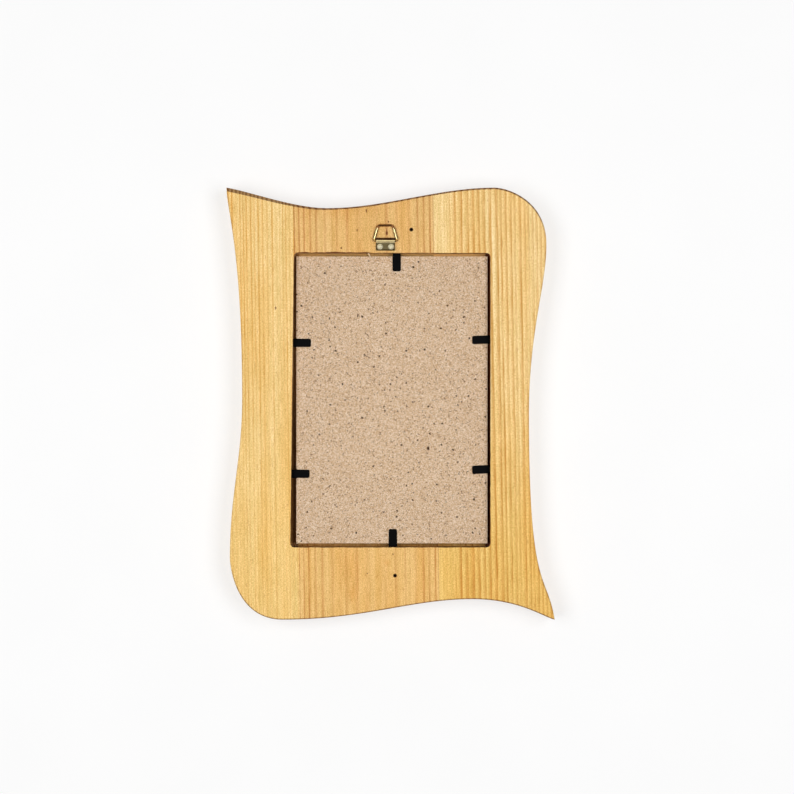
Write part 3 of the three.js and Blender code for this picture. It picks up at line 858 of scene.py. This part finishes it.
# Six flexible points hold the stack in. Each is a strip of black spring steel, its tapered shank shot
# into the rebate's wall and its round-cornered leaf pressed flat on the board. The leaf is bent by hand.
POINT_WIDTH = 4.35 * MM
LEAF_LENGTH = 8.75 * MM
LEAF_CORNER = 0.85 * MM
SHANK_LENGTH = 6.0 * MM
SHANK_TAPER = 5.0 * MM
SHANK_TIP = 0.06 * MM
STRIP_ROUNDING = 0.12 * MM
BEND_SPREAD = 0.45 * MM
SHANK_STEPS = 5
FLEX_STEPS = 6
CORNER_STEPS = 8
CORNER_TURN = math.radians(88)
STEEL_SHADES = (srgb(3, 3, 4), srgb(10, 10, 12))
STEEL_GLOSS = 0.05


def blackened_steel():
    """Spring steel with a dull black coat, a little greyer where it is rubbed."""
    finish, tree, shader = new_finish("blackened_steel")
    wear = mottle(tree, millimetres(tree), 0.5, 0.5, 0.5, 4.0)
    colour = stain(tree, ease(tree, wear, 0.45, 0.8), *STEEL_SHADES)
    tree.links.new(colour, shader.inputs["Base Color"])
    tree.links.new(ease(tree, wear, 0.3, 0.7, 0.55, 0.7), shader.inputs["Roughness"])
    shader.inputs["Specular IOR Level"].default_value = STEEL_GLOSS
    roughen(tree, shader, wear, 0.1, 0.03 * MM)
    return finish


def strip_section(half_width, half_thickness):
    """Corners of the strip's cross-section with its edges rounded, going round once."""
    corners = []
    rounding = min(STRIP_ROUNDING, half_width * 0.8)
    for side, up in ((1, 1), (-1, 1), (-1, -1), (1, -1)):
        turns = (0.0, 0.5, 1.0) if side * up > 0 else (1.0, 0.5, 0.0)
        for turn in turns:
            angle = turn * math.pi / 2
            across = side * (half_width - rounding + rounding * math.cos(angle))
            height = up * (half_thickness - rounding + rounding * math.sin(angle))
            corners.append((across, height))
    return corners


def strip(hinge, ahead, across, half_thickness):
    """The whole strip, lofted from its tip in the wood to the round corners of its leaf."""
    half_width = POINT_WIDTH / 2
    stations = [(-SHANK_LENGTH, SHANK_TIP / 2)]
    for step in range(1, SHANK_STEPS + 1):
        share = step / SHANK_STEPS
        stations.append((-SHANK_LENGTH + SHANK_TAPER * share, half_width * share))
    for step in range(-FLEX_STEPS, FLEX_STEPS + 1):
        stations.append((step * BEND_SPREAD / FLEX_STEPS, half_width))
    stations.append((LEAF_LENGTH / 2, half_width))
    for step in range(CORNER_STEPS + 1):
        angle = step / CORNER_STEPS * CORNER_TURN
        reach = LEAF_LENGTH - LEAF_CORNER + LEAF_CORNER * math.sin(angle)
        stations.append((reach, half_width - LEAF_CORNER + LEAF_CORNER * math.cos(angle)))
    loops = []
    for reach, half in sorted(stations):
        loop = []
        for offset, height in strip_section(half, half_thickness):
            loop.append(hinge + ahead * reach + across * offset + Vector((0, 0, height)))
        loops.append(loop)
    mesh = bmesh.new()
    loft(mesh, loops)
    return mesh


black_steel = blackened_steel()
for joint in frame["joints"]:
    if not joint["name"].startswith("bend_"):
        continue
    name = joint["name"].replace("bend_", "")
    leaf_low, leaf_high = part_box("point_leaf_" + name)
    hinge = Vector(joint["pos_m"])
    across = Vector(joint["axis"])
    ahead = Vector((-across.y, across.x, 0))
    metal = strip(hinge, ahead, across, (leaf_high.z - leaf_low.z) / 2)
    nodes = ("point_shank_" + name, "point_leaf_" + name)
    point = fit(metal, "point_" + name, black_steel, None, "black_steel", *nodes)
    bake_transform(point)

# The hanger's strap is a strip of bronzed sheet, folded double with its fold rolled round the ring's base.
# Two screws go through both layers into the top rail. Its roll is pale, partly from rubbing and partly as a
# painted reflection, with a painted highlight low on it and painted shade under the ring.
STRAP_EDGE = 0.07 * MM
CORNER_FROM = math.radians(50)
PLATE_SHADES = (srgb(86, 76, 50), srgb(118, 106, 76))
PLATE_BORDER = srgb(44, 32, 10)
# The roll's pale colour is partly rubbing and partly painted reflection, with a painted highlight low down and
# painted shade under the ring.
ROLL_WEAR_AND_REFLECTION = (srgb(204, 184, 132), srgb(226, 208, 158))
ROLL_HIGHLIGHT = srgb(246, 232, 188)
SHADE_UNDER_RING = srgb(66, 24, 6)
ring_joint = next(joint for joint in frame["joints"] if joint["name"] == "ring_swing")
ring_hinge = Vector(ring_joint["pos_m"])


def bronzed_sheet():
    """Sheet with a dark bronze wash. Its roll is pale, partly from rubbing and partly as a painted reflection,
    with a painted highlight and painted shade under the ring.
    """
    finish, tree, shader = new_finish("bronzed_sheet")
    place = millimetres(tree)
    x, y = put(tree, "SeparateXYZ", {0: place}).outputs[:2]
    up_the_strap = minus(tree, y, ring_hinge.y / MM)
    tarnish = mottle(tree, place, 1.2, 0.6, 0.6, 4.0)
    plate = stain(tree, tarnish, *PLATE_SHADES)
    to_the_sides = ease(tree, off_line(tree, x, ring_hinge.x / MM), 4.0, 4.75, 0.0, 0.85)
    to_the_end = ease(tree, up_the_strap, -4.3, -4.95, 0.0, 0.85)
    plate = stain(tree, work_out(tree, "MAXIMUM", to_the_sides, to_the_end), plate, PLATE_BORDER)
    # Painted reflection and highlight on the roll, and painted shade under the ring.
    roll_rubbing_and_reflection = stain(tree, tarnish, *ROLL_WEAR_AND_REFLECTION)
    roll_rubbing_and_reflection = stain(tree, ease(tree, up_the_strap, -0.55, -0.95), roll_rubbing_and_reflection, ROLL_HIGHLIGHT)
    colour = stain(tree, ease(tree, up_the_strap, -1.45, -1.15), plate, roll_rubbing_and_reflection)
    colour = stain(tree, ease(tree, up_the_strap, 0.0, 0.25), colour, SHADE_UNDER_RING)
    tree.links.new(colour, shader.inputs["Base Color"])
    shader.inputs["Metallic"].default_value = 1.0
    tree.links.new(ease(tree, tarnish, 0.3, 0.7, 0.5, 0.64), shader.inputs["Roughness"])
    roughen(tree, shader, tarnish, 0.15, 0.03 * MM)
    return finish


def rounded_solid(node, rounding, steps):
    """A copy of a solid with its sharp edges rounded over."""
    mesh = solid_copy(node)
    sharp = []
    for edge in mesh.edges:
        if len(edge.link_faces) == 2 and edge.is_convex and edge.calc_face_angle() > CORNER_FROM:
            sharp.append(edge)
    bmesh.ops.bevel(mesh, geom=sharp, offset=rounding, segments=steps, profile=0.5, affect="EDGES")
    return mesh


strap = rounded_solid("hanger_strap", STRAP_EDGE, 2)
fit(strap, "hanger_strap_folded", bronzed_sheet(), "frame", "bronze", "hanger_strap")

# The ring is one length of brass wire bent to a trapezoid, with its two ends butted inside the roll.
# It swings up from the wood on the strap's fold.
WIRE_DIAMETER = 1.3 * MM
RING_BASE = 12.3 * MM
RING_TOP = 7.7 * MM
RING_HEIGHT = 7.9 * MM
RING_BASE_BEND = 1.0 * MM
RING_TOP_BEND = 1.7 * MM
RING_BUTT_GAP = 0.4 * MM
RING_TILT = math.radians(3)
WIRE_SIDES = 24
BEND_STEPS = 10
# The wire's colours paint its light: a highlight along the crown of the legs, shade on their flanks and near the
# roll, and reflections on the top bar.
BRASS_SHADES = (srgb(228, 202, 138), srgb(244, 224, 168))
BRASS_SHADE_AT_ROLL = srgb(176, 136, 76)
LEG_FLANK_SHADE = srgb(48, 20, 5)
BAR_FLANK_REFLECTION = srgb(206, 150, 84)
BAR_CROWN_DARK_REFLECTION = srgb(92, 36, 8)
BRASS_EDGE_TINT = srgb(140, 80, 34)


def bright_brass():
    """Drawn brass wire with its light painted in: a painted highlight along the crown of its legs, painted brown
    shade on their flanks and near the roll, and a painted dark reflection on its top bar, whose flanks have a
    painted brown reflection.
    """
    finish, tree, shader = new_finish("bright_brass")
    place = millimetres(tree)
    drawn = mottle(tree, place, 0.9, 0.9, 0.9, 3.0)
    # Painted highlight on the crown of the legs, fading to painted shade near the roll.
    leg_crown_highlight = stain(tree, drawn, *BRASS_SHADES)
    crown = ease(tree, facing_up(tree), 0.74, 0.93)
    y = put(tree, "SeparateXYZ", {0: place}).outputs[1]
    up_the_ring = minus(tree, y, ring_hinge.y / MM)
    leg_crown_highlight = stain(tree, ease(tree, up_the_ring, 0.4, 1.4), BRASS_SHADE_AT_ROLL, leg_crown_highlight)
    leg = stain(tree, crown, LEG_FLANK_SHADE, leg_crown_highlight)
    bar = stain(tree, crown, BAR_FLANK_REFLECTION, BAR_CROWN_DARK_REFLECTION)
    on_bar = ease(tree, up_the_ring, RING_HEIGHT / MM - 1.9, RING_HEIGHT / MM - 1.1, 0.0, 0.9)
    tree.links.new(stain(tree, on_bar, leg, bar), shader.inputs["Base Color"])
    shader.inputs["Metallic"].default_value = 1.0
    shader.inputs["Specular Tint"].default_value = BRASS_EDGE_TINT
    tree.links.new(ease(tree, drawn, 0.3, 0.7, 0.28, 0.33), shader.inputs["Roughness"])
    return finish


def wire_path():
    """The middle of the wire in the ring's own plane, from one butted end round to the other."""
    corners = [
        Vector((RING_BUTT_GAP / 2, 0)),
        Vector((RING_BASE / 2, 0)),
        Vector((RING_TOP / 2, RING_HEIGHT)),
        Vector((-RING_TOP / 2, RING_HEIGHT)),
        Vector((-RING_BASE / 2, 0)),
        Vector((-RING_BUTT_GAP / 2, 0)),
    ]
    bends = (RING_BASE_BEND, RING_TOP_BEND, RING_TOP_BEND, RING_BASE_BEND)
    path = [corners[0]]
    for before, corner, after, bend in zip(corners, corners[1:], corners[2:], bends):
        back = (before - corner).normalized()
        on = (after - corner).normalized()
        setback = bend / math.tan(back.angle(on) / 2)
        for step in range(BEND_STEPS + 1):
            share = step / BEND_STEPS
            start = corner + back * setback
            end = corner + on * setback
            path.append(start * (1 - share) ** 2 + corner * 2 * share * (1 - share) + end * share ** 2)
    path.append(corners[-1])
    return path


def bent_wire():
    """The wire as a round tube along its path, tilted a little down to the wood."""
    along_ring = Vector((0, math.cos(RING_TILT), -math.sin(RING_TILT)))
    out_of_ring = Vector((0, math.sin(RING_TILT), math.cos(RING_TILT)))
    path = wire_path()
    loops = []
    for index, point in enumerate(path):
        before = path[max(index - 1, 0)]
        after = path[min(index + 1, len(path) - 1)]
        run = (after - before).normalized()
        middle = ring_hinge + Vector((point.x, 0, 0)) + along_ring * point.y
        sideways = Vector((-run.y, 0, 0)) + along_ring * run.x
        loop = []
        for side in range(WIRE_SIDES):
            angle = 2 * math.pi * side / WIRE_SIDES
            outward = sideways * math.cos(angle) + out_of_ring * math.sin(angle)
            loop.append(middle + outward * WIRE_DIAMETER / 2)
        loops.append(loop)
    mesh = bmesh.new()
    loft(mesh, loops)
    return mesh


fit(bent_wire(), "hanger_ring_wire", bright_brass(), "ring", "brass", "hanger_ring")

# Two small nickel-plated screws with low domed heads and a cross recess fix the strap to the wood.
# The plating is dull from handling.
SCREW_EDGE = 0.05 * MM
NICKEL_SHADES = (srgb(208, 201, 170), srgb(232, 226, 202))


def nickel_plate():
    """Dull, slightly yellow nickel."""
    finish, tree, shader = new_finish("nickel_plate")
    dull = mottle(tree, millimetres(tree), 0.4, 0.4, 0.4, 4.0)
    tree.links.new(stain(tree, dull, *NICKEL_SHADES), shader.inputs["Base Color"])
    shader.inputs["Metallic"].default_value = 1.0
    tree.links.new(ease(tree, dull, 0.3, 0.7, 0.6, 0.75), shader.inputs["Roughness"])
    roughen(tree, shader, dull, 0.1, 0.02 * MM)
    return finish


nickel = nickel_plate()
for side in ("left", "right"):
    node = "hanger_screw_" + side
    fit(rounded_solid(node, SCREW_EDGE, 2), node + "_nickel", nickel, "frame", "nickel", node)

# The frame lies face down on a white table, under two soft boxes at its left and right, and is seen from
# straight above. The table is shown paler than it is lit, so its shadows stay faint.
TABLE_SHADES = (srgb(252, 252, 252), srgb(255, 255, 255))
TABLE_HALF = 8.0
TABLE_DROP = 0.05 * MM
TABLE_LIFT = 0.65
TABLE_FADE_START = 0.35
TABLE_FADE_END = 1.5
CAMERA_HEIGHT = 1.166
CAMERA_X = 3.36 * MM
CAMERA_Y = 3.46 * MM
LENS = 100
SENSOR = 36
BOX_DISTANCE = 1.2
BOX_ELEVATION = math.radians(64)
BOX_WIDTH = 0.5
BOX_LENGTH = 0.8
BOX_WATTS = 7.7
BACKDROP = 0.97
BACKDROP_TOP = 0.18
ROOM_CEILING = 0.06
CEILING_START = 0.3


def white_table():
    """A matt white top that glows a little wherever it is seen, and wholly so far from the frame."""
    finish, tree, shader = new_finish("white_table")
    tree.nodes.remove(shader)
    place = millimetres(tree)
    grain = mottle(tree, place, 60, 60, 60, 3.0)
    white = stain(tree, grain, *TABLE_SHADES)
    matt = put(tree, "BsdfDiffuse", {"Color": white})
    glow = put(tree, "Emission", {"Color": white, "Strength": 1.0})
    ray = put(tree, "LightPath", {}).outputs
    seen = work_out(tree, "MAXIMUM", ray["Is Camera Ray"], ray["Is Glossy Ray"])
    seen = work_out(tree, "MAXIMUM", seen, ray["Is Transmission Ray"])
    away = put(tree, "VectorMath", {0: place}, operation="LENGTH").outputs["Value"]
    paler = ease(tree, away, TABLE_FADE_START / MM, TABLE_FADE_END / MM, TABLE_LIFT, 1.0)
    lift = times(tree, seen, paler)
    surface = put(tree, "MixShader", {0: lift, 1: matt.outputs[0], 2: glow.outputs[0]})
    tree.links.new(surface.outputs[0], tree.nodes["Material Output"].inputs["Surface"])
    return finish


table_mesh = bmesh.new()
bmesh.ops.create_grid(table_mesh, x_segments=1, y_segments=1, size=TABLE_HALF)
table_data = bpy.data.meshes.new("table")
table_mesh.to_mesh(table_data)
table_mesh.free()
table_data.materials.append(white_table())
table = bpy.data.objects.new("table", table_data)
table.location.z = -TABLE_DROP
bpy.context.scene.collection.objects.link(table)

for side in (-1, 1):
    lamp = bpy.data.lights.new("soft_box", "AREA")
    lamp.shape = "RECTANGLE"
    lamp.size = BOX_WIDTH
    lamp.size_y = BOX_LENGTH
    lamp.energy = BOX_WATTS
    box = bpy.data.objects.new("soft_box", lamp)
    sideways = side * math.cos(BOX_ELEVATION)
    box.location = (BOX_DISTANCE * sideways, 0, BOX_DISTANCE * math.sin(BOX_ELEVATION))
    box.rotation_euler = (0, side * (math.pi / 2 - BOX_ELEVATION), 0)
    bpy.context.scene.collection.objects.link(box)

world = bpy.data.worlds.new("studio")
world.use_nodes = True
room = world.node_tree
heading = put(room, "TexCoord", {}).outputs["Generated"]
height = put(room, "SeparateXYZ", {0: heading}).outputs[2]
shade = ease(room, height, BACKDROP_TOP, CEILING_START, BACKDROP, ROOM_CEILING)
room.links.new(shade, room.nodes["Background"].inputs["Color"])
bpy.context.scene.world = world

camera_data = bpy.data.cameras.new("camera")
camera_data.lens = LENS
camera_data.sensor_width = SENSOR
camera = bpy.data.objects.new("camera", camera_data)
camera.location = (CAMERA_X, CAMERA_Y, CAMERA_HEIGHT)
bpy.context.scene.collection.objects.link(camera)
bpy.context.scene.camera = camera
bpy.context.scene.view_settings.view_transform = "Standard"
